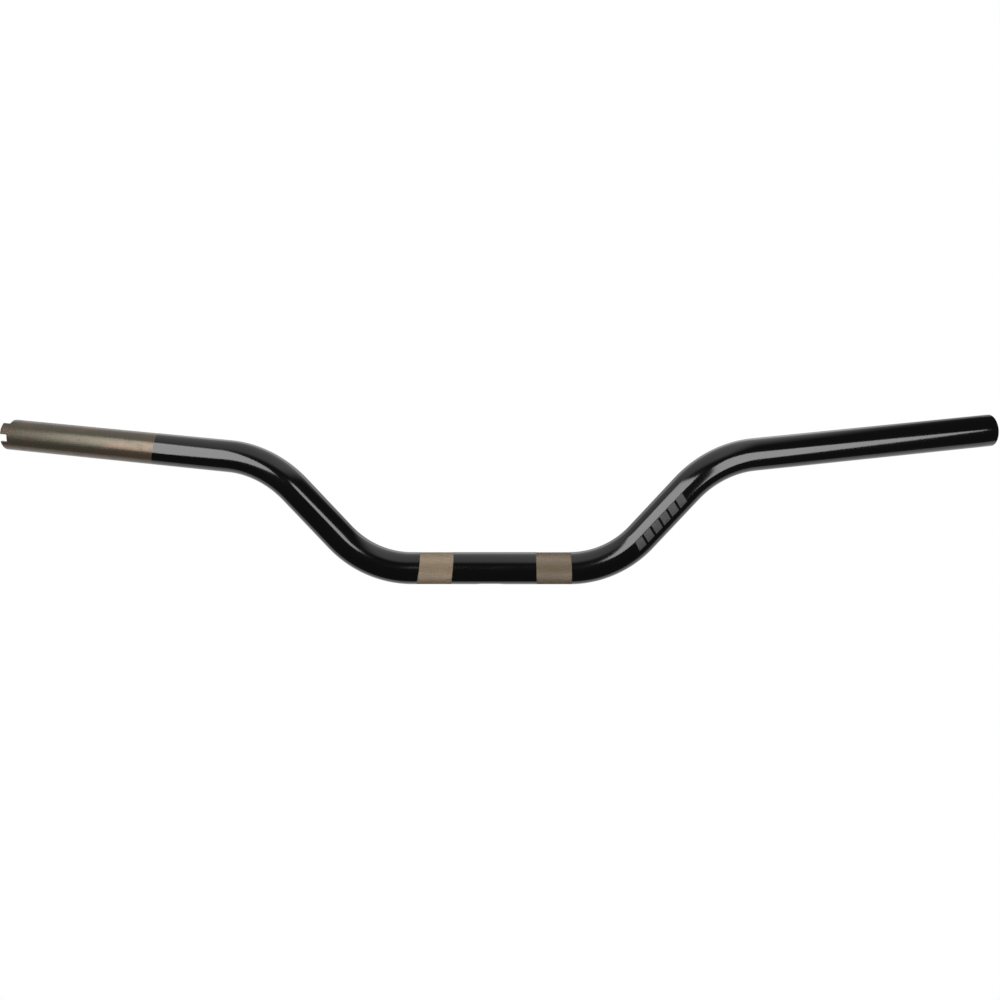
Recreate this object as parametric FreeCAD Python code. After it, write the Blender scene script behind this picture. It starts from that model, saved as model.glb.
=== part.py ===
import FreeCAD, Part
import math
import os
from FreeCAD import Vector

# Sizes in mm, angles in degrees.  Origin: middle of the straight centre section, on its axis.
# +X to the clutch side, +Y to the rider, +Z up.  The risers lie in the XZ plane.
TUBE_OD = 25.4
WALL = 2.4
FILM = 0.10
BEND_RADIUS = 76.2
CENTRE_HALF = 62.5
RISE_ANGLE = 47.9
RISER = 52.6
SWEEP_ANGLE = 11.0
UP_ANGLE = 4.0
GRIP = 199.5
RIM_CHAMFER = 0.5

# The two windows in the coat that leave the rolled clamp bands bare: distances from the middle.
# They are masked by hand, so they are not quite symmetric.
BAND_THROTTLE = (30.7, 57.9)
BAND_CLUTCH = (36.4, 63.9)

# Bare throttle end: its length, how far its mask edge leans inboard at the front and at the top,
# and the notches for the grip sensor.
BARE_LENGTH = 134.0
LEAN_FRONT = 4.5
LEAN_TOP = 2.1
NOTCH_DEPTH = 6.5
NOTCH_CORNER = 0.8
NOTCH_NARROW = 6.3
NOTCH_WIDE = 12.9
NOTCH_FRONT_ANGLE = -6.5
NOTCH_TOP_ANGLE = 85.0
NOTCH_REAR_ANGLE = 173.5

# Opening under the centre where the sensor lead leaves the tube.
LEAD_LENGTH = 25.0
LEAD_WIDTH = 12.0

# Printed strip on the clutch-side riser: plain slanted blocks, set a little below the riser's middle.
MARK_BLOCKS = 6
MARK_BLOCK = 7.1
MARK_GAP = 2.0
MARK_HEIGHT = 7.6
MARK_SLANT = 2.2
MARK_INK = 0.03
MARK_TURN = -4.0
MARK_DROP = 6.0

R_STEEL = TUBE_OD / 2
R_BORE = R_STEEL - WALL
R_COAT = R_STEEL + FILM
CLUTCH = 1
THROTTLE = -1


def legs(side):
    """One half of the bar's axis, from the middle outwards: straights and bends."""
    rise = math.radians(RISE_ANGLE)
    sweep = math.radians(SWEEP_ANGLE)
    up = math.radians(UP_ANGLE)
    along = Vector(side, 0, 0)
    riser = Vector(side * math.cos(rise), 0, math.sin(rise))
    grip = Vector(side * math.cos(sweep) * math.cos(up), math.sin(sweep) * math.cos(up), math.sin(up))
    out = []
    point = Vector(0, 0, 0)
    start = 0.0
    for length, heading, following in ((CENTRE_HALF, along, riser), (RISER, riser, grip), (GRIP, grip, None)):
        out.append({"bend": False, "s": start, "length": length, "p": point, "d": heading})
        start += length
        point = point + heading * length
        if following is None:
            continue
        turn = heading.getAngle(following)
        axis = heading.cross(following).normalize()
        hub = point + axis.cross(heading) * BEND_RADIUS
        out.append({"bend": True, "s": start, "length": turn * BEND_RADIUS, "p": point, "d": heading,
                    "axis": axis, "hub": hub})
        start += turn * BEND_RADIUS
        spin = FreeCAD.Rotation(axis, math.degrees(turn))
        point = hub + spin.multVec(point - hub)
    return out


HALF_LENGTH = legs(CLUTCH)[-1]["s"] + GRIP


def station(side, s):
    """Point and outward heading at path length s from the middle."""
    for leg in legs(side):
        if s <= leg["s"] + leg["length"] + 1e-6 or leg["s"] + leg["length"] >= HALF_LENGTH - 1e-6:
            along = s - leg["s"]
            if not leg["bend"]:
                return leg["p"] + leg["d"] * along, leg["d"]
            spin = FreeCAD.Rotation(leg["axis"], math.degrees(along / BEND_RADIUS))
            return leg["hub"] + spin.multVec(leg["p"] - leg["hub"]), spin.multVec(leg["d"])


def around(heading):
    """The two directions across the tube: front (away from the rider) and top."""
    top = Vector(0, 0, 1) - heading * heading.z
    top.normalize()
    front = top.cross(heading)
    if front.y > 0:
        front = front * -1
    return front, top


def disc(p, d, r):
    return Part.Face(Part.Wire(Part.makeCircle(r, p, d)))


def stretches(side, s0, s1, r_out, r_in):
    """The tube wall, or a layer on it, between two path lengths of one half, straight by bend by straight."""
    out = []
    for leg in legs(side):
        a = max(s0, leg["s"])
        b = min(s1, leg["s"] + leg["length"])
        if leg["s"] + leg["length"] >= HALF_LENGTH - 1e-6:
            b = s1
        if b - a < 1e-6:
            continue
        p, d = station(side, a)
        face = disc(p, d, r_out).cut(disc(p, d, r_in)).Faces[0]
        if leg["bend"]:
            out.append(face.revolve(leg["hub"], leg["axis"], math.degrees((b - a) / BEND_RADIUS)))
        else:
            out.append(face.extrude(d * (b - a)))
    return out


def join(pieces):
    return pieces[0].multiFuse(pieces[1:]) if len(pieces) > 1 else pieces[0]


def outboard_of(side, s):
    """A block on the outboard side of the leaning mask edge at s."""
    p, d = station(side, s)
    front, top = around(d)
    normal = d + front * (LEAN_FRONT / R_STEEL) + top * (LEAN_TOP / R_STEEL)
    block = Part.makeBox(80, 80, 30, Vector(-40, -40, 0))
    block.Placement = FreeCAD.Placement(p, FreeCAD.Rotation(Vector(0, 0, 1), normal))
    return block


def rim_cutter(side, length, r_out):
    """What the 45 degree chamfer takes off the outer rim of an end."""
    p, d = station(side, length - RIM_CHAMFER)
    blank = Part.makeCylinder(r_out + 2, RIM_CHAMFER + 1, p, d)
    cone = Part.makeCone(r_out, r_out - RIM_CHAMFER - 1, RIM_CHAMFER + 1, p, d)
    return blank.cut(cone)


def notch_cutter(angle, width):
    """A slot with rounded inner corners, cut through one wall from the throttle end."""
    p, d = station(THROTTLE, HALF_LENGTH)
    front, top = around(d)
    a = math.radians(angle)
    outward = front * math.cos(a) + top * math.sin(a)
    cutter = Part.makeBox(width, NOTCH_DEPTH + 4, TUBE_OD, Vector(-width / 2, -NOTCH_DEPTH, 0))
    inner = [e for e in cutter.Edges
             if abs(e.BoundBox.YMax + NOTCH_DEPTH) < 1e-6 and e.BoundBox.ZLength > 1]
    cutter = cutter.makeFillet(NOTCH_CORNER, inner)
    cutter.Placement = FreeCAD.Placement(p, FreeCAD.Rotation(d.cross(outward), d, outward, "ZYX"))
    return cutter


def lead_cutter():
    """The rounded slot through the underside of the centre section."""
    half = LEAD_LENGTH / 2 - LEAD_WIDTH / 2
    slot = Part.makeBox(2 * half, LEAD_WIDTH, 20, Vector(-half, -LEAD_WIDTH / 2, -20))
    for x in (-half, half):
        slot = slot.fuse(Part.makeCylinder(LEAD_WIDTH / 2, 20, Vector(x, 0, -20)))
    return slot


def save(name, shape):
    shape.exportStep("parts/" + name + ".step")


os.makedirs("parts", exist_ok=True)
# One length of steel tube, bent four times, with a rolled band on each side of the middle.
pieces = []
for side, (inner, outer) in ((THROTTLE, BAND_THROTTLE), (CLUTCH, BAND_CLUTCH)):
    pieces += stretches(side, 0, inner, R_STEEL, R_BORE)
    pieces += stretches(side, inner, outer, R_COAT, R_BORE)
    pieces += stretches(side, outer, HALF_LENGTH, R_STEEL, R_BORE)
steel = join(pieces)
for side in (THROTTLE, CLUTCH):
    steel = steel.cut(rim_cutter(side, HALF_LENGTH, R_STEEL))
steel = steel.cut(notch_cutter(NOTCH_FRONT_ANGLE, NOTCH_NARROW))
steel = steel.cut(notch_cutter(NOTCH_TOP_ANGLE, NOTCH_WIDE))
steel = steel.cut(notch_cutter(NOTCH_REAR_ANGLE, NOTCH_NARROW))
steel = steel.cut(lead_cutter())
save("steel_tube", steel)

# The powder coat, in the three stretches that the bare bands and the bare end leave.
bare_edge = HALF_LENGTH - BARE_LENGTH
coat = join(stretches(THROTTLE, BAND_THROTTLE[1], bare_edge + LEAN_FRONT + LEAN_TOP, R_COAT, R_STEEL))
coat = coat.cut(outboard_of(THROTTLE, bare_edge))
save("coat_throttle_side", coat)
pieces = stretches(THROTTLE, 0, BAND_THROTTLE[0], R_COAT, R_STEEL)
pieces += stretches(CLUTCH, 0, BAND_CLUTCH[0], R_COAT, R_STEEL)
coat = join(pieces)
coat = coat.cut(lead_cutter())
save("coat_centre", coat)
coat = join(stretches(CLUTCH, BAND_CLUTCH[1], HALF_LENGTH + FILM, R_COAT, R_BORE))
coat = coat.cut(rim_cutter(CLUTCH, HALF_LENGTH + FILM, R_COAT)).cut(steel)
save("coat_clutch_side", coat)

# The printed strip: slanted blocks of ink on the front of the clutch-side riser.
riser_leg = legs(CLUTCH)[2]
middle = riser_leg["p"] + riser_leg["d"] * (RISER / 2 - MARK_DROP)
front, top = around(riser_leg["d"])
turn = math.radians(MARK_TURN)
facing = front * math.cos(turn) + top * math.sin(turn)
upward = riser_leg["d"].cross(facing) * -1
strip_length = MARK_BLOCKS * MARK_BLOCK + (MARK_BLOCKS - 1) * MARK_GAP
foot = riser_leg["s"] - MARK_DROP - MARK_SLANT
ink = join(stretches(CLUTCH, foot, riser_leg["s"] + RISER, R_COAT + MARK_INK, R_COAT))
blocks = []
for i in range(MARK_BLOCKS):
    x0 = -strip_length / 2 + i * (MARK_BLOCK + MARK_GAP) - MARK_SLANT / 2
    corners = []
    for x, y in ((x0, -1), (x0 + MARK_BLOCK, -1), (x0 + MARK_BLOCK + MARK_SLANT, 1), (x0 + MARK_SLANT, 1)):
        corners.append(middle + riser_leg["d"] * x + upward * (y * MARK_HEIGHT / 2))
    outline = Part.makePolygon(corners + [corners[0]])
    blocks.append(ink.common(Part.Face(outline).extrude(facing * 20)))
save("riser_mark", Part.makeCompound([s for b in blocks for s in b.Solids]))
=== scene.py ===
import math

import bpy
from mathutils import Matrix, Vector


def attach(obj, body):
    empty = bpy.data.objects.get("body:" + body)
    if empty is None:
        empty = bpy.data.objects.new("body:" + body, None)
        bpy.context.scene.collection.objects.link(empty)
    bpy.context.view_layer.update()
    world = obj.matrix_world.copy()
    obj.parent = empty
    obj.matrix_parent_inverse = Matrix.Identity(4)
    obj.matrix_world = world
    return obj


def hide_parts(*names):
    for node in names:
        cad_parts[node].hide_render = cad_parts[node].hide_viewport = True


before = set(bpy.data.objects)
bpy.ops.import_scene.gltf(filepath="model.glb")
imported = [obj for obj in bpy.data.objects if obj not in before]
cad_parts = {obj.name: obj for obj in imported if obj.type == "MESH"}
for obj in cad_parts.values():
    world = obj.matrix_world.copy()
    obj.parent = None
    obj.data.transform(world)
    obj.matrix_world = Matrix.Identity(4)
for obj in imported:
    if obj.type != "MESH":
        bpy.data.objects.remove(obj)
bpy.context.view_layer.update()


# ---------------------------------------------------------------- bare steel tube
# Drawn mild steel tube, 25.4 mm across with a 2.4 mm wall, bare at the throttle end and under the
# two clamp windows. The stock is knurled at the clamp bands, notched at the throttle end and
# slotted under the centre, and is then bent four times.
MM = 0.001
R_STEEL = 12.7 * MM
R_BORE = 10.3 * MM
RIM_CHAMFER = 0.5 * MM
BORE_CHAMFER = 0.3 * MM
STEEL_COLUMNS = 112

# Half of the bar's line, from the middle outwards: centre, foot bend, riser, head bend and grip.
# It runs on a little past the end, so that the coat over the rim is bent with the rest.
CENTRE_HALF = 62.5 * MM
BEND_RADIUS = 76.2 * MM
RISE = math.radians(47.9)
RISER = 52.6 * MM
SWEEP = math.radians(11.0)
LIFT = math.radians(4.0)
GRIP = 199.5 * MM
RUN_ON = 2.0 * MM

riser_way = Vector((math.cos(RISE), 0, math.sin(RISE)))
grip_way = Vector((math.cos(SWEEP) * math.cos(LIFT), math.sin(SWEEP) * math.cos(LIFT), math.sin(LIFT)))
grip_turn = riser_way.angle(grip_way)
foot_tangent = BEND_RADIUS * math.tan(RISE / 2)
head_tangent = BEND_RADIUS * math.tan(grip_turn / 2)
riser_foot = Vector((CENTRE_HALF + foot_tangent, 0, 0))
riser_head = riser_foot + riser_way * (foot_tangent + RISER + head_tangent)
line_end = riser_head + grip_way * (head_tangent + GRIP + RUN_ON)

FOOT_END = CENTRE_HALF + BEND_RADIUS * RISE
HEAD_START = FOOT_END + RISER
HEAD_END = HEAD_START + BEND_RADIUS * grip_turn
HALF_LENGTH = HEAD_END + GRIP
BENDS = ((-HEAD_END, -HEAD_START), (-FOOT_END, -CENTRE_HALF),
         (CENTRE_HALF, FOOT_END), (HEAD_START, HEAD_END))

scene = bpy.context.scene


def new_piece(name, points, faces):
    mesh = bpy.data.meshes.new(name)
    mesh.from_pydata([tuple(p) for p in points], [], [tuple(f) for f in faces])
    mesh.validate()
    piece = bpy.data.objects.new(name, mesh)
    scene.collection.objects.link(piece)
    return piece


def run(start, end, radius, straight=12.0 * MM, curved=2.4 * MM, slack=1e-9):
    """Rings of one radius from start to end along the stock, close together where it will be bent."""
    low, high = min(start, end), max(start, end)
    marks = sorted({low, high} | {mark for bend_ends in BENDS for mark in bend_ends if low < mark < high})
    rings = [low]
    for a, b in zip(marks, marks[1:]):
        in_bend = any(first - slack <= a and b <= last + slack for first, last in BENDS)
        count = max(1, math.ceil((b - a) / (curved if in_bend else straight)))
        rings += [a + (b - a) * (i + 1) / count for i in range(count)]
    if end < start:
        rings.reverse()
    return [(s, radius) for s in rings]


def turned(name, profile, columns, lean=None):
    """A closed ring profile of (place, radius) turned round the stock's axis. It runs out along the
    outside and back along the inside. Angles start at the front and go over the top."""
    profile = [p for i, p in enumerate(profile) if p != profile[i - 1]]
    points = []
    for s, r in profile:
        for j in range(columns):
            angle = 2 * math.pi * j / columns
            front, top = math.cos(angle), math.sin(angle)
            shift = lean(s, front, top) if lean else 0.0
            points.append((s + shift, -r * front, r * top))
    faces = []
    for i in range(len(profile)):
        k = (i + 1) % len(profile)
        for j in range(columns):
            m = (j + 1) % columns
            faces.append((i * columns + j, k * columns + j, k * columns + m, i * columns + m))
    return new_piece(name, points, faces)


# The knurled bands reach a little further than the windows in the coat. Their fine rings start
# as a smooth crest, a shoulder away from the plain tube.
KNURL_THROTTLE = (-62.0 * MM, -27.0 * MM)
KNURL_CLUTCH = (34.0 * MM, 67.0 * MM)
KNURL_STEP = 0.7 * MM
KNURL_CREST = 12.77 * MM
KNURL_DEPTH = 0.38 * MM
SHOULDER = 0.05 * MM


def knurl_rows(band):
    return round((band[1] - band[0]) / KNURL_STEP)


def knurl_rings(band):
    """Evenly spaced rings for one rolled band, at its crest radius."""
    low, high = band
    rows = knurl_rows(band)
    return [(low + (high - low) * i / rows, KNURL_CREST) for i in range(rows + 1)]


outside = [(-HALF_LENGTH, R_STEEL - RIM_CHAMFER)]
plain_from = -HALF_LENGTH + RIM_CHAMFER
for band in (KNURL_THROTTLE, KNURL_CLUTCH):
    outside += run(plain_from, band[0] - SHOULDER, R_STEEL) + knurl_rings(band)
    plain_from = band[1] + SHOULDER
outside += run(plain_from, HALF_LENGTH - RIM_CHAMFER, R_STEEL)
outside += [(HALF_LENGTH, R_STEEL - RIM_CHAMFER), (HALF_LENGTH, R_BORE + BORE_CHAMFER)]
inside = run(HALF_LENGTH - BORE_CHAMFER, -HALF_LENGTH + BORE_CHAMFER, R_BORE, curved=4.0 * MM)
inside += [(-HALF_LENGTH, R_BORE + BORE_CHAMFER)]
tube = turned("steel_tube_bar", outside + inside, STEEL_COLUMNS)

# Three notches in the throttle end key a sensor: their angles, from the front over the top, and
# their widths. The sensor's lead leaves through a rounded slot under the centre.
NOTCHES = ((-6.5, 6.3 * MM), (85.0, 12.9 * MM), (173.5, 6.3 * MM))
NOTCH_DEPTH = 6.5 * MM
NOTCH_CORNER = 0.8 * MM
NOTCH_OVERSHOOT = 4.0 * MM
NOTCH_STEPS = 6
LEAD_LENGTH = 25.0 * MM
LEAD_WIDTH = 12.0 * MM
LEAD_STEPS = 24
CUTTER_REACH = 20.0 * MM


def arc(cx, cy, radius, start, end, steps):
    span = [start + (end - start) * i / steps for i in range(steps + 1)]
    return [(cx + radius * math.cos(a), cy + radius * math.sin(a)) for a in span]


def rounded_block(name, outline, low, high, place):
    """A straight-sided cutter: a flat outline of points raised from low to high, then put in place."""
    count = len(outline)
    points = [place @ Vector((x, y, z)) for z in (low, high) for x, y in outline]
    faces = [tuple(reversed(range(count))), tuple(range(count, 2 * count))]
    faces += [(i, (i + 1) % count, count + (i + 1) % count, count + i) for i in range(count)]
    return new_piece(name, points, faces)


def notch_cutter(angle, width):
    """A slot with rounded inner corners, through one wall of the throttle end."""
    half, c = width / 2, NOTCH_CORNER
    outline = [(-NOTCH_OVERSHOOT, -half), (NOTCH_DEPTH - c, -half)]
    outline += arc(NOTCH_DEPTH - c, -half + c, c, -math.pi / 2, 0, NOTCH_STEPS)[1:]
    outline += arc(NOTCH_DEPTH - c, half - c, c, 0, math.pi / 2, NOTCH_STEPS)
    outline += [(-NOTCH_OVERSHOOT, half)]
    outward = Vector((0, -math.cos(angle), math.sin(angle)))
    sideways = outward.cross(Vector((1, 0, 0)))
    place = Matrix((Vector((1, 0, 0)), sideways, outward)).transposed().to_4x4()
    place.translation = (-HALF_LENGTH, 0, 0)
    return rounded_block("notch_cutter", outline, 0.0, CUTTER_REACH, place)


def settle(piece):
    """Applies what stands on a piece's modifier list to its mesh."""
    ready = piece.evaluated_get(bpy.context.evaluated_depsgraph_get())
    made = bpy.data.meshes.new_from_object(ready)
    made.name = piece.name
    piece.modifiers.clear()
    piece.data = made


def cut(piece, tools):
    for tool in tools:
        work = piece.modifiers.new("cut", "BOOLEAN")
        work.operation = "DIFFERENCE"
        work.solver = "EXACT"
        work.object = tool
    settle(piece)


notch_cutters = [notch_cutter(math.radians(angle), width) for angle, width in NOTCHES]
lead_round = LEAD_WIDTH / 2
lead_run = LEAD_LENGTH / 2 - lead_round
slot_outline = arc(lead_run, 0, lead_round, -math.pi / 2, math.pi / 2, LEAD_STEPS)
slot_outline += arc(-lead_run, 0, lead_round, math.pi / 2, 1.5 * math.pi, LEAD_STEPS)
lead_cutter = rounded_block("lead_cutter", slot_outline, -CUTTER_REACH, 0.0, Matrix.Identity(4))
cut(tube, notch_cutters + [lead_cutter])
for tool in notch_cutters:
    bpy.data.objects.remove(tool)


def add_node(tree, kind, values=None, **settings):
    """A node with its settings, constants and incoming links; a link is another node's output."""
    made = tree.nodes.new(kind)
    for name, value in settings.items():
        setattr(made, name, value)
    for socket, value in (values or {}).items():
        if isinstance(value, bpy.types.NodeSocket):
            tree.links.new(value, made.inputs[socket])
        else:
            made.inputs[socket].default_value = value
    return made


def calculate(tree, operation, a, b=0.0, c=0.0):
    return add_node(tree, "ShaderNodeMath", {0: a, 1: b, 2: c}, operation=operation).outputs[0]


def vector_work(tree, operation, a, b=None):
    values = {0: a} if b is None else {0: a, 1: b}
    made = add_node(tree, "ShaderNodeVectorMath", values, operation=operation)
    return made.outputs["Value" if operation in ("DOT_PRODUCT", "LENGTH") else "Vector"]


def scaled(tree, way, factor):
    return add_node(tree, "ShaderNodeVectorMath", {0: way, "Scale": factor}, operation="SCALE").outputs[0]


def new_workshop(name, inputs):
    """A geometry tree with a geometry input and output and the named inputs."""
    tree = bpy.data.node_groups.new(name, "GeometryNodeTree")
    tree.interface.new_socket("Geometry", in_out="INPUT", socket_type="NodeSocketGeometry")
    tree.interface.new_socket("Geometry", in_out="OUTPUT", socket_type="NodeSocketGeometry")
    for label, kind in inputs:
        tree.interface.new_socket(label, in_out="INPUT", socket_type="NodeSocket" + kind)
    return tree, tree.nodes.new("NodeGroupInput"), tree.nodes.new("NodeGroupOutput")


def close_workshop(tree, geometry, finish, result):
    """Ends a geometry tree: what it placed is made real and takes its finish."""
    whole = add_node(tree, "GeometryNodeRealizeInstances", {"Geometry": geometry})
    coloured = add_node(tree, "GeometryNodeSetMaterial", {"Geometry": whole.outputs[0], "Material": finish})
    tree.links.new(coloured.outputs[0], result.inputs[0])


def pass_through(piece, tree, values):
    """Runs a piece through a geometry tree and keeps the result as its plain mesh."""
    work = piece.modifiers.new(tree.name, "NODES")
    work.node_group = tree
    for item in tree.interface.items_tree:
        if item.item_type == "SOCKET" and item.in_out == "INPUT" and item.name in values:
            work[item.identifier] = values[item.name]
    settle(piece)


# The knurling wheels press a diamond pattern into a smooth band: every second corner of the fine
# rings is pushed in, and the faces are split along the valleys. The first and the last ring are
# pushed in all round, where the wheels start and stop. A quarter step keeps a corner on its own
# ring and a face with the ring it starts from, and the offset keeps the sum that tells odd from
# even above zero.
QUARTER_STEP = 0.25
EVEN_OFFSET = 4096.0
ROW_TOLERANCE = 0.02
CREST_TOLERANCE = 0.05 * MM

knurl, given, result = new_workshop("knurl_roller", (
    ("Start", "Float"), ("End", "Float"), ("Step", "Float"), ("Around", "Int"), ("Crest Radius", "Float"),
    ("Depth", "Float"), ("Finish", "Material")))
on_stock = add_node(knurl, "GeometryNodeInputPosition").outputs[0]
stock_xyz = add_node(knurl, "ShaderNodeSeparateXYZ", {0: on_stock})
from_axis = vector_work(knurl, "MULTIPLY", on_stock, (0.0, 1.0, 1.0))
from_start = calculate(knurl, "SUBTRACT", stock_xyz.outputs["X"], given.outputs["Start"])
along = calculate(knurl, "DIVIDE", from_start, given.outputs["Step"])
band_length = calculate(knurl, "SUBTRACT", given.outputs["End"], given.outputs["Start"])
last_row = calculate(knurl, "DIVIDE", band_length, given.outputs["Step"])
forward = calculate(knurl, "MULTIPLY", stock_xyz.outputs["Y"], -1.0)
angle = calculate(knurl, "ARCTAN2", stock_xyz.outputs["Z"], forward)
share = calculate(knurl, "ADD", calculate(knurl, "DIVIDE", angle, 2 * math.pi), 1.0)
round_axis = calculate(knurl, "MULTIPLY", share, given.outputs["Around"])

row = calculate(knurl, "FLOOR", calculate(knurl, "ADD", along, QUARTER_STEP))
column = calculate(knurl, "FLOOR", calculate(knurl, "ADD", round_axis, QUARTER_STEP))
steps_taken = calculate(knurl, "ADD", calculate(knurl, "ADD", row, column), EVEN_OFFSET)
odd = calculate(knurl, "MODULO", steps_taken, 2.0)
even = calculate(knurl, "SUBTRACT", 1.0, odd)

past_start = calculate(knurl, "GREATER_THAN", along, -ROW_TOLERANCE)
before_end = calculate(knurl, "LESS_THAN", along, calculate(knurl, "ADD", last_row, ROW_TOLERANCE))
low_crest = calculate(knurl, "SUBTRACT", given.outputs["Crest Radius"], CREST_TOLERANCE)
near_crest = calculate(knurl, "GREATER_THAN", vector_work(knurl, "LENGTH", from_axis), low_crest)
on_band = calculate(knurl, "MULTIPLY", calculate(knurl, "MULTIPLY", past_start, before_end), near_crest)
even_faces = calculate(knurl, "MULTIPLY", on_band, even)
split_even = add_node(knurl, "GeometryNodeTriangulate",
                      {"Mesh": given.outputs["Geometry"], "Selection": even_faces}, quad_method="FIXED")
split_odd = add_node(knurl, "GeometryNodeTriangulate",
                     {"Mesh": split_even.outputs[0], "Selection": on_band}, quad_method="FIXED_ALTERNATE")

before_last = calculate(knurl, "SUBTRACT", last_row, 0.5)
end_row = calculate(knurl, "ADD", calculate(knurl, "LESS_THAN", along, 0.5),
                    calculate(knurl, "GREATER_THAN", along, before_last))
pressed = calculate(knurl, "MULTIPLY", on_band, calculate(knurl, "MAXIMUM", even, end_row))
noted = add_node(knurl, "GeometryNodeStoreNamedAttribute",
                 {"Geometry": split_odd.outputs[0], "Name": "valley", "Value": pressed},
                 data_type="FLOAT", domain="POINT")
depth = calculate(knurl, "MULTIPLY", calculate(knurl, "MULTIPLY", pressed, -1.0), given.outputs["Depth"])
press = scaled(knurl, vector_work(knurl, "NORMALIZE", from_axis), depth)
rolled = add_node(knurl, "GeometryNodeSetPosition", {"Geometry": noted.outputs[0], "Offset": press})
close_workshop(knurl, rolled.outputs[0], given.outputs["Finish"], result)

# The bender lays a straight piece, made along X, on the bar's line. The line has a sharp corner at
# each riser foot and head, which is then rounded to the bend radius. Front stays front and top
# stays top all the way, and each point keeps note of where it was on the stock.
CORNERS = 6
BEND_STEPS = 96

bender, given, result = new_workshop("bar_bender", (
    ("Bend Radius", "Float"), ("Riser Foot", "Vector"), ("Riser Head", "Vector"), ("Bar End", "Vector"),
    ("Finish", "Material")))
chord = add_node(bender, "GeometryNodeCurvePrimitiveLine")
cornered = add_node(bender, "GeometryNodeResampleCurve", {"Curve": chord.outputs[0], "Count": CORNERS})
corner = add_node(bender, "GeometryNodeIndexSwitch", data_type="VECTOR")
while len(corner.index_switch_items) < CORNERS:
    corner.index_switch_items.new()
bender.links.new(add_node(bender, "GeometryNodeInputIndex").outputs[0], corner.inputs["Index"])
for rank, label in enumerate(("Bar End", "Riser Head", "Riser Foot")):
    mirrored = vector_work(bender, "MULTIPLY", given.outputs[label], (-1.0, 1.0, 1.0))
    bender.links.new(mirrored, corner.inputs[1 + rank])
    bender.links.new(given.outputs[label], corner.inputs[CORNERS - rank])
kinked = add_node(bender, "GeometryNodeSetPosition",
                  {"Geometry": cornered.outputs[0], "Position": corner.outputs[0]})
line = add_node(bender, "GeometryNodeFilletCurve", mode="POLY", values={
    "Curve": kinked.outputs[0], "Count": BEND_STEPS, "Radius": given.outputs["Bend Radius"]})

on_stock = add_node(bender, "GeometryNodeInputPosition").outputs[0]
stock_xyz = add_node(bender, "ShaderNodeSeparateXYZ", {0: on_stock})
line_length = add_node(bender, "GeometryNodeCurveLength", {0: line.outputs[0]}).outputs[0]
half_line = calculate(bender, "MULTIPLY", line_length, 0.5)
reach = calculate(bender, "ADD", stock_xyz.outputs["X"], half_line)
spot = add_node(bender, "GeometryNodeSampleCurve", mode="LENGTH", values={
    "Curves": line.outputs[0], "Length": reach})
heading = vector_work(bender, "NORMALIZE", spot.outputs["Tangent"])
slope = add_node(bender, "ShaderNodeSeparateXYZ", {0: heading}).outputs["Z"]
leaning = scaled(bender, heading, slope)
top_way = vector_work(bender, "NORMALIZE", vector_work(bender, "SUBTRACT", (0.0, 0.0, 1.0), leaning))
rear_way = vector_work(bender, "CROSS_PRODUCT", top_way, heading)
rearward = scaled(bender, rear_way, stock_xyz.outputs["Y"])
upward = scaled(bender, top_way, stock_xyz.outputs["Z"])
off_line = vector_work(bender, "ADD", rearward, upward)
bent_place = vector_work(bender, "ADD", spot.outputs["Position"], off_line)
noted = add_node(bender, "GeometryNodeStoreNamedAttribute",
                 {"Geometry": given.outputs["Geometry"], "Name": "stock", "Value": on_stock},
                 data_type="FLOAT_VECTOR", domain="POINT")
bent = add_node(bender, "GeometryNodeSetPosition", {"Geometry": noted.outputs[0], "Position": bent_place})
close_workshop(bender, bent.outputs[0], given.outputs["Finish"], result)


def bend(piece, finish):
    pass_through(piece, bender, {
        "Bend Radius": BEND_RADIUS, "Riser Foot": riser_foot, "Riser Head": riser_head, "Bar End": line_end,
        "Finish": finish})


def smooth(piece, sharp=math.radians(32)):
    """Smooth shading that leaves edges over the given angle crisp."""
    mesh = piece.data
    mesh.polygons.foreach_set("use_smooth", [True] * len(mesh.polygons))
    mesh.set_sharp_from_angle(angle=sharp)
    mesh.update()


def new_effect(name, inputs, outputs):
    """A shader group with named inputs, given as (name, kind, value), and outputs."""
    tree = bpy.data.node_groups.new(name, "ShaderNodeTree")
    for label, kind, value in inputs:
        made = tree.interface.new_socket(label, in_out="INPUT", socket_type="NodeSocket" + kind)
        if value is not None:
            made.default_value = value
    for label, kind in outputs:
        tree.interface.new_socket(label, in_out="OUTPUT", socket_type="NodeSocket" + kind)
    return tree, tree.nodes.new("NodeGroupInput"), tree.nodes.new("NodeGroupOutput")


# Cloudy patches: a soft uneven mask from 0 to 1, stretched along the stock as much as is asked.
clouds, given, result = new_effect("clouds", (
    ("Place", "Vector", None), ("Stretch", "Vector", (1.0, 1.0, 1.0)), ("Scale", "Float", 100.0),
    ("Roughness", "Float", 0.6), ("Low", "Float", 0.35), ("High", "Float", 0.65)), (("Mask", "Float"),))
pulled = vector_work(clouds, "MULTIPLY", given.outputs["Place"], given.outputs["Stretch"])
patches = add_node(clouds, "ShaderNodeTexNoise", {
    "Vector": pulled, "Scale": given.outputs["Scale"], "Detail": 4.0,
    "Roughness": given.outputs["Roughness"]})
spread = add_node(clouds, "ShaderNodeMapRange", interpolation_type="SMOOTHSTEP", values={
    "Value": patches.outputs[0], "From Min": given.outputs["Low"], "From Max": given.outputs["High"]})
clouds.links.new(spread.outputs[0], result.inputs["Mask"])


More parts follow.
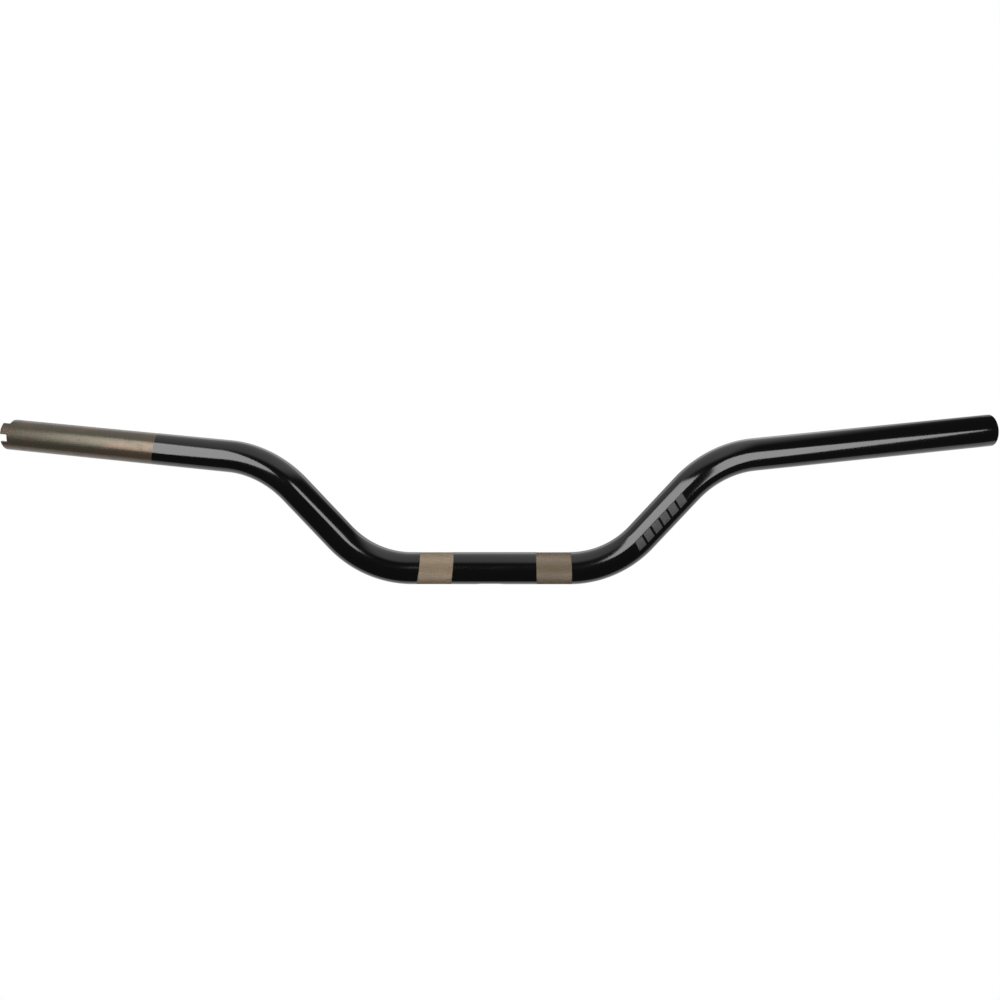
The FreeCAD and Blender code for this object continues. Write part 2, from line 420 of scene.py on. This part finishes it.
def cloudy(tree, where, scale, stretch, roughness, low, high):
    """The mask of the clouds effect, placed in a material with its own values."""
    values = {"Place": where, "Stretch": (stretch, 1.0, 1.0), "Scale": scale, "Roughness": roughness,
              "Low": low, "High": high}
    return add_node(tree, "ShaderNodeGroup", values, node_tree=clouds).outputs["Mask"]


def new_material(name, **constants):
    """A material with its shader, and constants set on the shader's own sockets."""
    made = bpy.data.materials.new(name)
    made.use_nodes = True
    shader = made.node_tree.nodes["Principled BSDF"]
    for socket, value in constants.items():
        shader.inputs[socket.replace("_", " ")].default_value = value
    return made, made.node_tree, shader


def from_stock(tree):
    """Where a point was on the straight stock, so that a pattern keeps to the metal round the bends."""
    return add_node(tree, "ShaderNodeAttribute", attribute_name="stock").outputs["Vector"]


def mix_colours(tree, factor, a, b):
    """A blend from colour a to colour b. Sockets 6 and 7 and output 2 are the Mix node's colour ones."""
    return add_node(tree, "ShaderNodeMix", {0: factor, 6: a, 7: b}, data_type="RGBA").outputs[2]


def raise_surface(tree, shader, height, strength, distance):
    bump = add_node(tree, "ShaderNodeBump", {"Strength": strength, "Distance": distance, "Height": height})
    tree.links.new(bump.outputs[0], shader.inputs["Normal"])


# Bare steel is warm grey brown with a faint green heat tint, dark stains and fine draw lines.
# Rolled steel is lighter and duller, its valleys are coloured darker as painted shade, and the change lies
# under the coat.
STEEL_GREY = (0.094, 0.070, 0.049, 1)
STEEL_BROWN = (0.112, 0.076, 0.054, 1)
HEAT_TINT = (0.080, 0.070, 0.050, 1)
STAIN = (0.045, 0.036, 0.029, 1)
CREST_TONE = (0.178, 0.136, 0.088, 1)
VALLEY_PAINTED_SHADE = (0.062, 0.045, 0.027, 1)
PATCH_TONE = (0.160, 0.124, 0.082, 1)
STAIN_STRENGTH = 0.45
PATCH_STRENGTH = 0.20
STEEL_METALLIC = 0.60
ROLLED_METALLIC = 0.15
STEEL_ROUGHNESS = 0.23
STAIN_ROUGHNESS = 0.10
LINE_ROUGHNESS = 0.06
ROLLED_ROUGHNESS = 0.50
ROLLED_ZONE = 80.0 * MM

steel, tree, shader = new_material("bare_drawn_steel", IOR=1.5)
where = from_stock(tree)
mottle = cloudy(tree, where, scale=90.0, stretch=0.45, roughness=0.55, low=0.36, high=0.66)
heat_tint = cloudy(tree, where, scale=60.0, stretch=0.5, roughness=0.5, low=0.46, high=0.58)
stains = cloudy(tree, where, scale=170.0, stretch=0.6, roughness=0.7, low=0.52, high=0.72)
draw_lines = cloudy(tree, where, scale=2600.0, stretch=0.02, roughness=0.5, low=0.25, high=0.75)
warm = mix_colours(tree, mottle, STEEL_GREY, STEEL_BROWN)
tinted = mix_colours(tree, heat_tint, warm, HEAT_TINT)
stained = mix_colours(tree, calculate(tree, "MULTIPLY", stains, STAIN_STRENGTH), tinted, STAIN)
valley = add_node(tree, "ShaderNodeAttribute", attribute_name="valley").outputs["Fac"]
# The knurl's valleys get a darker colour: painted shade in the recesses of the rolled band.
rolled_metal_valley_shade = mix_colours(tree, valley, CREST_TONE, VALLEY_PAINTED_SHADE)
patchy = mix_colours(tree, calculate(tree, "MULTIPLY", mottle, PATCH_STRENGTH), rolled_metal_valley_shade, PATCH_TONE)
off_middle = calculate(tree, "ABSOLUTE", add_node(tree, "ShaderNodeSeparateXYZ", {0: where}).outputs["X"])
in_band = calculate(tree, "LESS_THAN", off_middle, ROLLED_ZONE)
tree.links.new(mix_colours(tree, in_band, stained, patchy), shader.inputs["Base Color"])
metallic = calculate(tree, "MULTIPLY_ADD", in_band, ROLLED_METALLIC - STEEL_METALLIC, STEEL_METALLIC)
tree.links.new(metallic, shader.inputs["Metallic"])
stain_rough = calculate(tree, "MULTIPLY_ADD", stains, STAIN_ROUGHNESS, STEEL_ROUGHNESS)
streak_rough = calculate(tree, "MULTIPLY_ADD", draw_lines, LINE_ROUGHNESS, stain_rough)
band_rough = calculate(tree, "MULTIPLY", in_band, ROLLED_ROUGHNESS)
tree.links.new(calculate(tree, "MAXIMUM", streak_rough, band_rough), shader.inputs["Roughness"])
raise_surface(tree, shader, draw_lines, strength=0.2, distance=0.01 * MM)

for band in (KNURL_THROTTLE, KNURL_CLUTCH):
    step = (band[1] - band[0]) / knurl_rows(band)
    pass_through(tube, knurl, {"Start": band[0], "End": band[1], "Step": step, "Around": STEEL_COLUMNS,
                               "Crest Radius": KNURL_CREST, "Depth": KNURL_DEPTH, "Finish": steel})
bend(tube, steel)
smooth(tube)
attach(tube, "root")
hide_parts("steel_tube")


# ---------------------------------------------------------------- powder coat
# Gloss black powder coat, a tenth of a millimetre thick, baked on after bending in three stretches.
# Hand-laid masking tape leaves the two bands and the throttle end bare, so its edges lean a little.
# At the clutch end the coat goes over the rim and a little way into the bore.
COAT = 0.1 * MM
HAIR_GAP = 0.002 * MM
R_COAT = R_STEEL + COAT
R_UNDER = R_STEEL + HAIR_GAP
COAT_COLUMNS = 160
BAND_THROTTLE = (-57.9 * MM, -30.7 * MM)
BAND_CLUTCH = (36.4 * MM, 63.9 * MM)
BARE_EDGE = -(HALF_LENGTH - 134.0 * MM)
EDGE_ROUND = 0.05 * MM
RIM_ROUND = 0.55 * MM
BORE_ROUND = 0.35 * MM
BORE_COVER = 0.6 * MM
ROUND_STEPS = 6

# How far each taped edge leans outboard, at the front and at the top. The lean fades out along
# the coat.
LEAN_BARE_EDGE = (-4.5 * MM, -2.1 * MM)
LEAN_THROTTLE_OUTER = (-1.9 * MM, -1.8 * MM)
LEAN_THROTTLE_INNER = (-1.5 * MM, -1.4 * MM)
LEAN_CLUTCH_INNER = (0.3 * MM, -0.3 * MM)
LEAN_CLUTCH_OUTER = (0.6 * MM, 0.1 * MM)
LEAN_FADE = 15.0 * MM


def tape_lean(*edges):
    """The shift of a coat's points near its taped edges, given as (place, outboard sign, lean)."""
    def shift(s, front, top):
        total = 0.0
        for edge, side, (at_front, at_top) in edges:
            fade = max(0.0, 1.0 - abs(s - edge) / LEAN_FADE)
            total += side * fade * (at_front * front + at_top * top)
        return total
    return shift


def film(low, high):
    """The profile of a coat from edge to edge: its rounded outside, and its underside on the steel."""
    profile = [(low, R_COAT - EDGE_ROUND)]
    profile += run(low + EDGE_ROUND, high - EDGE_ROUND, R_COAT)
    profile += [(high, R_COAT - EDGE_ROUND)]
    return profile + run(high, low, R_UNDER)


coat_throttle = turned("powder_coat_throttle_side", film(BARE_EDGE, BAND_THROTTLE[0]), COAT_COLUMNS,
                       tape_lean((BARE_EDGE, -1, LEAN_BARE_EDGE),
                                 (BAND_THROTTLE[0], -1, LEAN_THROTTLE_OUTER)))
coat_centre = turned("powder_coat_centre", film(BAND_THROTTLE[1], BAND_CLUTCH[0]), COAT_COLUMNS,
                     tape_lean((BAND_THROTTLE[1], -1, LEAN_THROTTLE_INNER),
                               (BAND_CLUTCH[0], 1, LEAN_CLUTCH_INNER)))
cut(coat_centre, [lead_cutter])
bpy.data.objects.remove(lead_cutter)

rim = HALF_LENGTH + COAT
over_rim = arc(rim - RIM_ROUND, R_COAT - RIM_ROUND, RIM_ROUND, math.pi / 2, 0, ROUND_STEPS)
over_rim += arc(rim - BORE_ROUND, R_BORE - COAT + BORE_ROUND, BORE_ROUND, 0, -math.pi / 2, ROUND_STEPS)
under_rim = [(HALF_LENGTH - BORE_COVER, R_BORE + HAIR_GAP),
             (HALF_LENGTH - BORE_CHAMFER, R_BORE + HAIR_GAP),
             (HALF_LENGTH + HAIR_GAP, R_BORE + BORE_CHAMFER),
             (HALF_LENGTH + HAIR_GAP, R_STEEL - RIM_CHAMFER)]
clutch_profile = [(BAND_CLUTCH[1], R_COAT - EDGE_ROUND)]
clutch_profile += run(BAND_CLUTCH[1] + EDGE_ROUND, rim - RIM_ROUND, R_COAT)[:-1]
clutch_profile += over_rim + under_rim
clutch_profile += run(HALF_LENGTH - RIM_CHAMFER, BAND_CLUTCH[1], R_UNDER)
coat_clutch = turned("powder_coat_clutch_side", clutch_profile, COAT_COLUMNS,
                     tape_lean((BAND_CLUTCH[1], 1, LEAN_CLUTCH_OUTER)))

# The coat is a deep gloss black with a faint orange peel, some dust and marks of handling.
COAT_BLACK = (0.0014, 0.0013, 0.0014, 1)
COAT_DUST = (0.020, 0.019, 0.018, 1)
DUST_STRENGTH = 0.10
COAT_ROUGHNESS = 0.11
HANDLED_ROUGHNESS = 0.03

black, tree, shader = new_material("gloss_black_powder_coat", IOR=1.5)
where = from_stock(tree)
handling = cloudy(tree, where, scale=60.0, stretch=0.3, roughness=0.6, low=0.4, high=0.7)
dust = cloudy(tree, where, scale=1500.0, stretch=1.0, roughness=0.7, low=0.66, high=0.80)
dusty = mix_colours(tree, calculate(tree, "MULTIPLY", dust, DUST_STRENGTH), COAT_BLACK, COAT_DUST)
tree.links.new(dusty, shader.inputs["Base Color"])
handled = calculate(tree, "MULTIPLY_ADD", handling, HANDLED_ROUGHNESS, COAT_ROUGHNESS)
tree.links.new(handled, shader.inputs["Roughness"])
peel = add_node(tree, "ShaderNodeTexNoise", {
    "Vector": where, "Scale": 480.0, "Detail": 1.0, "Roughness": 0.4})
raise_surface(tree, shader, peel.outputs[0], strength=0.12, distance=0.04 * MM)

for piece, node in ((coat_throttle, "coat_throttle_side"), (coat_centre, "coat_centre"),
                    (coat_clutch, "coat_clutch_side")):
    bend(piece, black)
    smooth(piece)
    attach(piece, "root")
    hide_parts(node)


# ---------------------------------------------------------------- riser print
# A strip of matte grey ink, pad printed in one pass on the front of the clutch-side riser after
# the coat is baked: six plain slanted blocks, a little below the riser's middle.
MARK_BLOCKS = 6
MARK_BLOCK = 7.1 * MM
MARK_GAP = 2.0 * MM
MARK_HEIGHT = 7.6 * MM
MARK_SLANT = 2.2 * MM
MARK_INK = 0.03 * MM
MARK_TURN = math.radians(-4.0)
MARK_DROP = 6.0 * MM
MARK_MIDDLE = (FOOT_END + HEAD_START) / 2 - MARK_DROP
INK_DARK = (0.021, 0.020, 0.022, 1)
INK_PALE = (0.029, 0.028, 0.030, 1)
INK_ROUGHNESS = 0.50
THIN_ROUGHNESS = 0.10

# The printer lays flat blocks of ink in a row, slants them, and wraps them on the coat.
printer, given, result = new_workshop("strip_printer", (
    ("Blocks", "Int"), ("Block Length", "Float"), ("Gap", "Float"), ("Height", "Float"), ("Slant", "Float"),
    ("Ink", "Float"), ("Turn", "Float"), ("Middle", "Float"), ("Radius", "Float"), ("Finish", "Material")))
pitch = calculate(printer, "ADD", given.outputs["Block Length"], given.outputs["Gap"])
half_row = calculate(printer, "MULTIPLY_ADD", given.outputs["Blocks"], -0.5, 0.5)
first_block = calculate(printer, "MULTIPLY_ADD", pitch, half_row, given.outputs["Middle"])
row_start = add_node(printer, "ShaderNodeCombineXYZ", {0: first_block})
row_step = add_node(printer, "ShaderNodeCombineXYZ", {0: pitch})
block_row = add_node(printer, "GeometryNodeMeshLine", {
    "Count": given.outputs["Blocks"], "Start Location": row_start.outputs[0],
    "Offset": row_step.outputs[0]})
block_size = add_node(printer, "ShaderNodeCombineXYZ", {
    0: given.outputs["Block Length"], 1: given.outputs["Height"], 2: given.outputs["Ink"]})
block = add_node(printer, "GeometryNodeMeshCube", {
    "Size": block_size.outputs[0], "Vertices X": 3, "Vertices Y": 13, "Vertices Z": 2})
laid = add_node(printer, "GeometryNodeInstanceOnPoints", {
    "Points": block_row.outputs[0], "Instance": block.outputs[0]})
flat_ink = add_node(printer, "GeometryNodeRealizeInstances", {"Geometry": laid.outputs[0]})
on_strip = add_node(printer, "GeometryNodeInputPosition").outputs[0]
flat = add_node(printer, "ShaderNodeSeparateXYZ", {0: on_strip})
share_up = calculate(printer, "DIVIDE", flat.outputs["Y"], given.outputs["Height"])
slid = calculate(printer, "MULTIPLY_ADD", share_up, given.outputs["Slant"], flat.outputs["X"])
wrap = calculate(printer, "DIVIDE", flat.outputs["Y"], given.outputs["Radius"])
around = calculate(printer, "ADD", wrap, given.outputs["Turn"])
off_coat = calculate(printer, "MULTIPLY_ADD", given.outputs["Ink"], 0.5, flat.outputs["Z"])
off_axis = calculate(printer, "ADD", off_coat, given.outputs["Radius"])
forward = calculate(printer, "MULTIPLY", calculate(printer, "COSINE", around), off_axis)
wrapped_y = calculate(printer, "MULTIPLY", forward, -1.0)
wrapped_z = calculate(printer, "MULTIPLY", calculate(printer, "SINE", around), off_axis)
wrapped_place = add_node(printer, "ShaderNodeCombineXYZ", {0: slid, 1: wrapped_y, 2: wrapped_z})
wrapped = add_node(printer, "GeometryNodeSetPosition", {
    "Geometry": flat_ink.outputs[0], "Position": wrapped_place.outputs[0]})
close_workshop(printer, wrapped.outputs[0], given.outputs["Finish"], result)

ink, tree, shader = new_material("matte_grey_ink")
where = from_stock(tree)
thin = cloudy(tree, where, scale=900.0, stretch=1.0, roughness=0.7, low=0.35, high=0.65)
tree.links.new(mix_colours(tree, thin, INK_DARK, INK_PALE), shader.inputs["Base Color"])
matte = calculate(tree, "MULTIPLY_ADD", thin, THIN_ROUGHNESS, INK_ROUGHNESS)
tree.links.new(matte, shader.inputs["Roughness"])
raise_surface(tree, shader, thin, strength=0.2, distance=0.02 * MM)

mark = new_piece("riser_print", [(0, 0, 0)], [])
pass_through(mark, printer, {
    "Blocks": MARK_BLOCKS, "Block Length": MARK_BLOCK, "Gap": MARK_GAP, "Height": MARK_HEIGHT,
    "Slant": MARK_SLANT, "Ink": MARK_INK, "Turn": MARK_TURN, "Middle": MARK_MIDDLE, "Radius": R_COAT,
    "Finish": ink})
bend(mark, ink)
smooth(mark)
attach(mark, "root")
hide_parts("riser_mark")


# ---------------------------------------------------------------- studio
# A white cove with a pale floor and an open, dark front, which gives the coat its deep black. A
# graded cloth hangs over the bar, a long light stands along the left of the open front, and a
# shorter one leans on the right.
def panel(name, place, facing, size, brightness, roll=0.0):
    """A flat light: it shines along facing, and brightness is what a mirror would show of it."""
    data = bpy.data.lights.new(name, "AREA")
    data.shape = "RECTANGLE"
    data.size, data.size_y = size
    data.energy = brightness * math.pi * size[0] * size[1]
    made = bpy.data.objects.new(name, data)
    turn = Vector(facing).to_track_quat("-Z", "Y").to_matrix().to_4x4()
    made.matrix_world = Matrix.Translation(place) @ turn @ Matrix.Rotation(math.radians(roll), 4, "Z")
    made.visible_camera = False
    scene.collection.objects.link(made)
    return made


# The cloth is lit from the rear right: it dims towards the front and the left, and fades out at
# its hems.
CLOTH_RISE = (("X", 0.60), ("Y", 0.35))
CLOTH_HEM = 0.35

ceiling = panel("ceiling", place=(-0.40, 0.77, 0.78), facing=(0, 0, -1), size=(2.30, 2.95), brightness=0.90,
                roll=-13.7)
ceiling.data.use_nodes = True
tree = ceiling.data.node_tree
parametric = add_node(tree, "ShaderNodeNewGeometry").outputs["Parametric"]
on_cloth = add_node(tree, "ShaderNodeSeparateXYZ", {0: parametric})
glow = 1.0
hems = 1.0
for direction, rise in CLOTH_RISE:
    across = calculate(tree, "MULTIPLY_ADD", on_cloth.outputs[direction], 2.0, -1.0)
    glow = calculate(tree, "MULTIPLY_ADD", across, rise, glow)
    inside_hem = calculate(tree, "SUBTRACT", 1.0, calculate(tree, "ABSOLUTE", across))
    hem = add_node(tree, "ShaderNodeMapRange", {"Value": inside_hem, "From Max": CLOTH_HEM},
                   interpolation_type="SMOOTHSTEP")
    hems = calculate(tree, "MULTIPLY", hems, hem.outputs[0])
cloth_light = calculate(tree, "MULTIPLY", calculate(tree, "MAXIMUM", glow, 0.0), hems)
tree.links.new(cloth_light, tree.nodes["Emission"].inputs["Strength"])

panel("cove_back", place=(0.0, 2.0, 0.70), facing=(0, -1, 0), size=(5.0, 2.6), brightness=0.55)
panel("cove_floor", place=(0.0, 1.01, -0.27), facing=(0, 0, 1), size=(5.0, 1.96), brightness=0.90)


def soft_box(name, place, yaw, pitch, roll, size, brightness):
    """A soft box whose back faces yaw from the viewer's direction and pitch up, in degrees."""
    y, p = math.radians(yaw), math.radians(pitch)
    away = Vector((math.sin(y) * math.cos(p), -math.cos(y) * math.cos(p), math.sin(p)))
    return panel(name, place, -away, size, brightness, roll)


soft_box("left_soft_box", place=(-0.954, -3.43, 1.192), yaw=-90.6, pitch=-2.1, roll=15.2,
         size=(6.07, 1.18), brightness=6.5)
soft_box("right_soft_box", place=(0.528, -1.352, 0.511), yaw=77.1, pitch=-23.8, roll=-28.7,
         size=(2.30, 0.498), brightness=6.45)

# The floor is white paper that glows by itself, so that no shadow falls on it. It can't be seen
# from below.
FLOOR_DROP = 0.28
FLOOR_HALF = 12.0

floor_corners = [(x, y, -FLOOR_DROP) for x, y in ((-FLOOR_HALF, -FLOOR_HALF), (FLOOR_HALF, -FLOOR_HALF),
                                                  (FLOOR_HALF, FLOOR_HALF), (-FLOOR_HALF, FLOOR_HALF))]
floor = new_piece("floor", floor_corners, [(0, 1, 2, 3)])
floor.visible_glossy = False
floor.visible_diffuse = False
paper, tree, shader = new_material(
    "pale_paper", Base_Color=(0, 0, 0, 1), Roughness=1.0, Specular_IOR_Level=0.0,
    Emission_Color=(1, 1, 1, 1), Emission_Strength=1.0)
below = add_node(tree, "ShaderNodeNewGeometry").outputs["Backfacing"]
clear = add_node(tree, "ShaderNodeBsdfTransparent").outputs[0]
open_below = add_node(tree, "ShaderNodeMixShader", {0: below, 1: shader.outputs[0], 2: clear})
tree.links.new(open_below.outputs[0], tree.nodes["Material Output"].inputs["Surface"])
floor.data.materials.append(paper)

# The room behind is white to the eye, and lights the bar only dimly.
ROOM_DIM = (0.060, 0.060, 0.063, 1)
ROOM_WHITE = (1, 1, 1, 1)

room = bpy.data.worlds.new("room")
room.use_nodes = True
scene.world = room
tree = room.node_tree
seen = add_node(tree, "ShaderNodeLightPath").outputs["Is Camera Ray"]
tree.links.new(mix_colours(tree, seen, ROOM_DIM, ROOM_WHITE), tree.nodes["Background"].inputs["Color"])
scene.view_settings.view_transform = "Standard"


# ---------------------------------------------------------------- view
# A studio shot from the front of the motorcycle, a little above the bar, so the throttle end is on
# the left and both grips run away from the viewer. The focal share is the lens's focal length over
# the sensor's width.
VIEW_TURN = math.radians(-2.12)
VIEW_DROP = math.radians(10.0)
VIEW_ROLL = math.radians(-0.47)
VIEW_DISTANCE = 0.869
VIEW_TARGET = Vector((0.0081, 0.0, 0.0551))
FOCAL_SHARE = 1.104
SENSOR_WIDTH = 36.0

ahead = Vector((math.sin(VIEW_TURN) * math.cos(VIEW_DROP), math.cos(VIEW_TURN) * math.cos(VIEW_DROP),
                -math.sin(VIEW_DROP)))
level_right = ahead.cross(Vector((0, 0, 1))).normalized()
level_up = level_right.cross(ahead)
right = level_right * math.cos(VIEW_ROLL) + level_up * math.sin(VIEW_ROLL)
up = level_up * math.cos(VIEW_ROLL) - level_right * math.sin(VIEW_ROLL)
camera_data = bpy.data.cameras.new("view")
camera_data.sensor_width = SENSOR_WIDTH
camera_data.lens = SENSOR_WIDTH * FOCAL_SHARE
camera = bpy.data.objects.new("view", camera_data)
turn = Matrix((right, up, -ahead)).transposed().to_4x4()
camera.matrix_world = Matrix.Translation(VIEW_TARGET - ahead * VIEW_DISTANCE) @ turn
scene.collection.objects.link(camera)
scene.camera = camera
